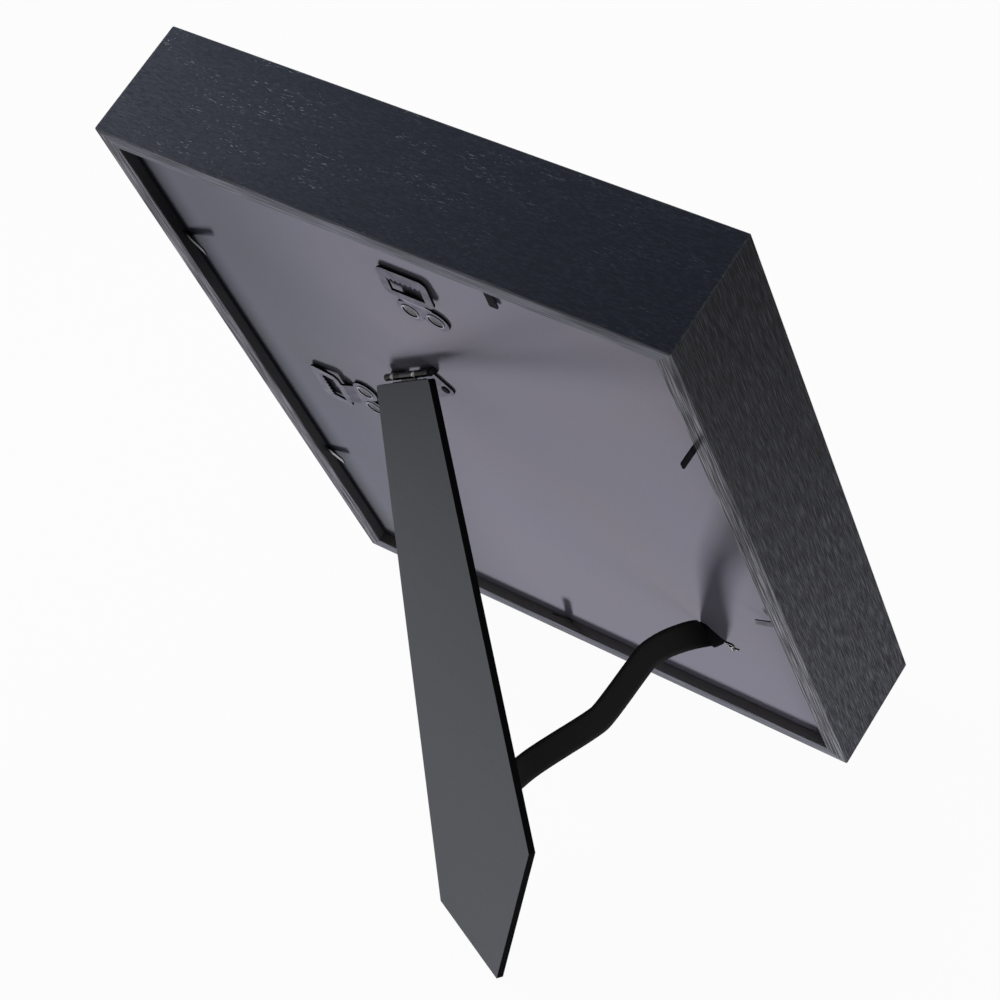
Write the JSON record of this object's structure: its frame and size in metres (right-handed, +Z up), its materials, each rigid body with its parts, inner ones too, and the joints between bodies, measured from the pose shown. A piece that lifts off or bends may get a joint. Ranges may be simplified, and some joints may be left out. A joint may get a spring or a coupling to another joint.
{
  "type": "photo frame",
  "caption": "Deep black wooden photo frame standing on its hinged easel strut, with a slack ribbon stay, bendable retaining tabs and toothed hangers on the back.",
  "frame": {"origin": "on the table, under the middle of the whole object's box, as it stands leaning back on its lower back edge and its strut", "axes": "+Z up, the picture faces -Y and leans back, the easel strut is on +Y, +X to the right as seen from the front"},
  "size_m": [0.219, 0.1894, 0.2659],
  "materials": {
    "black_wood": "black-stained open-pored wood, satin",
    "back_board": "grey paper-faced fibreboard, matt",
    "strut_board": "dark grey paper-faced fibreboard, matt",
    "spacer_board": "black-painted strip, matt",
    "mat_board": "off-white mat board",
    "print_paper": "blank paper",
    "glass": "clear picture glass",
    "hanger_plate": "dull grey stamped steel",
    "eyelet_steel": "dull grey eyelets",
    "hinge_steel": "dark plated steel",
    "tab_steel": "blackened spring steel",
    "ribbon_satin": "black satin ribbon"
  },
  "bodies": {
    "frame": {"top_rail": "black_wood", "bottom_rail": "black_wood", "left_rail": "black_wood", "right_rail": "black_wood", "tab_roots": "tab_steel", "glass": "glass", "top_spacer": "spacer_board", "bottom_spacer": "spacer_board", "left_spacer": "spacer_board", "right_spacer": "spacer_board", "mat_board": "mat_board", "print_sheet": "print_paper", "back_panel": "back_board", "portrait_hanger": "hanger_plate", "landscape_hanger": "hanger_plate", "hanger_eyelets": "eyelet_steel", "hinge_fixed_leaf": "hinge_steel", "hinge_pin": "hinge_steel", "panel_leaf_rivets": "hinge_steel", "ribbon": "ribbon_satin"},
    "strut": {"strut": "strut_board", "hinge_moving_leaf": "hinge_steel", "strut_leaf_rivets": "hinge_steel", "ribbon_strut_end": "ribbon_satin", "ribbon_staple": "tab_steel"},
    "upper_right_tab": {"upper_right_tab": "tab_steel"},
    "lower_right_tab": {"lower_right_tab": "tab_steel"},
    "upper_left_tab": {"upper_left_tab": "tab_steel"},
    "lower_left_tab": {"lower_left_tab": "tab_steel"},
    "top_tab": {"top_tab": "tab_steel"},
    "bottom_tab": {"bottom_tab": "tab_steel"}
  },
  "joints": [
    {"name": "strut_hinge", "type": "hinge", "parent": "frame", "child": "strut", "pos_m": [0.0203, 0.01251, 0.16519], "axis": [0.8039, -0.2257, -0.5503], "range_deg": [-42.3, 1], "deforming": ["ribbon"]},
    {"name": "upper_right_tab_bend", "type": "hinge", "parent": "frame", "child": "upper_right_tab", "pos_m": [0.1021, 0.02388, 0.1978], "axis": [0, -0.3795, -0.9252], "range_deg": [-17, 74]},
    {"name": "lower_right_tab_bend", "type": "hinge", "parent": "frame", "child": "lower_right_tab", "pos_m": [0.1021, -0.02878, 0.06941], "axis": [0, -0.3795, -0.9252], "range_deg": [-12, 79]},
    {"name": "upper_left_tab_bend", "type": "hinge", "parent": "frame", "child": "upper_left_tab", "pos_m": [-0.1021, 0.02442, 0.1991], "axis": [0, 0.3795, 0.9252], "range_deg": [-88, 3]},
    {"name": "lower_left_tab_bend", "type": "hinge", "parent": "frame", "child": "lower_left_tab", "pos_m": [-0.1021, -0.02009, 0.09059], "axis": [0, 0.3795, 0.9252], "range_deg": [-16, 75]},
    {"name": "top_tab_bend", "type": "hinge", "parent": "frame", "child": "top_tab", "pos_m": [-0.03997, 0.04271, 0.2437], "axis": [1, 0, 0], "range_deg": [-2, 89]},
    {"name": "bottom_tab_bend", "type": "hinge", "parent": "frame", "child": "bottom_tab", "pos_m": [0.01251, -0.05406, 0.00778], "axis": [-1, 0, 0], "range_deg": [-19, 72]}
  ]
}
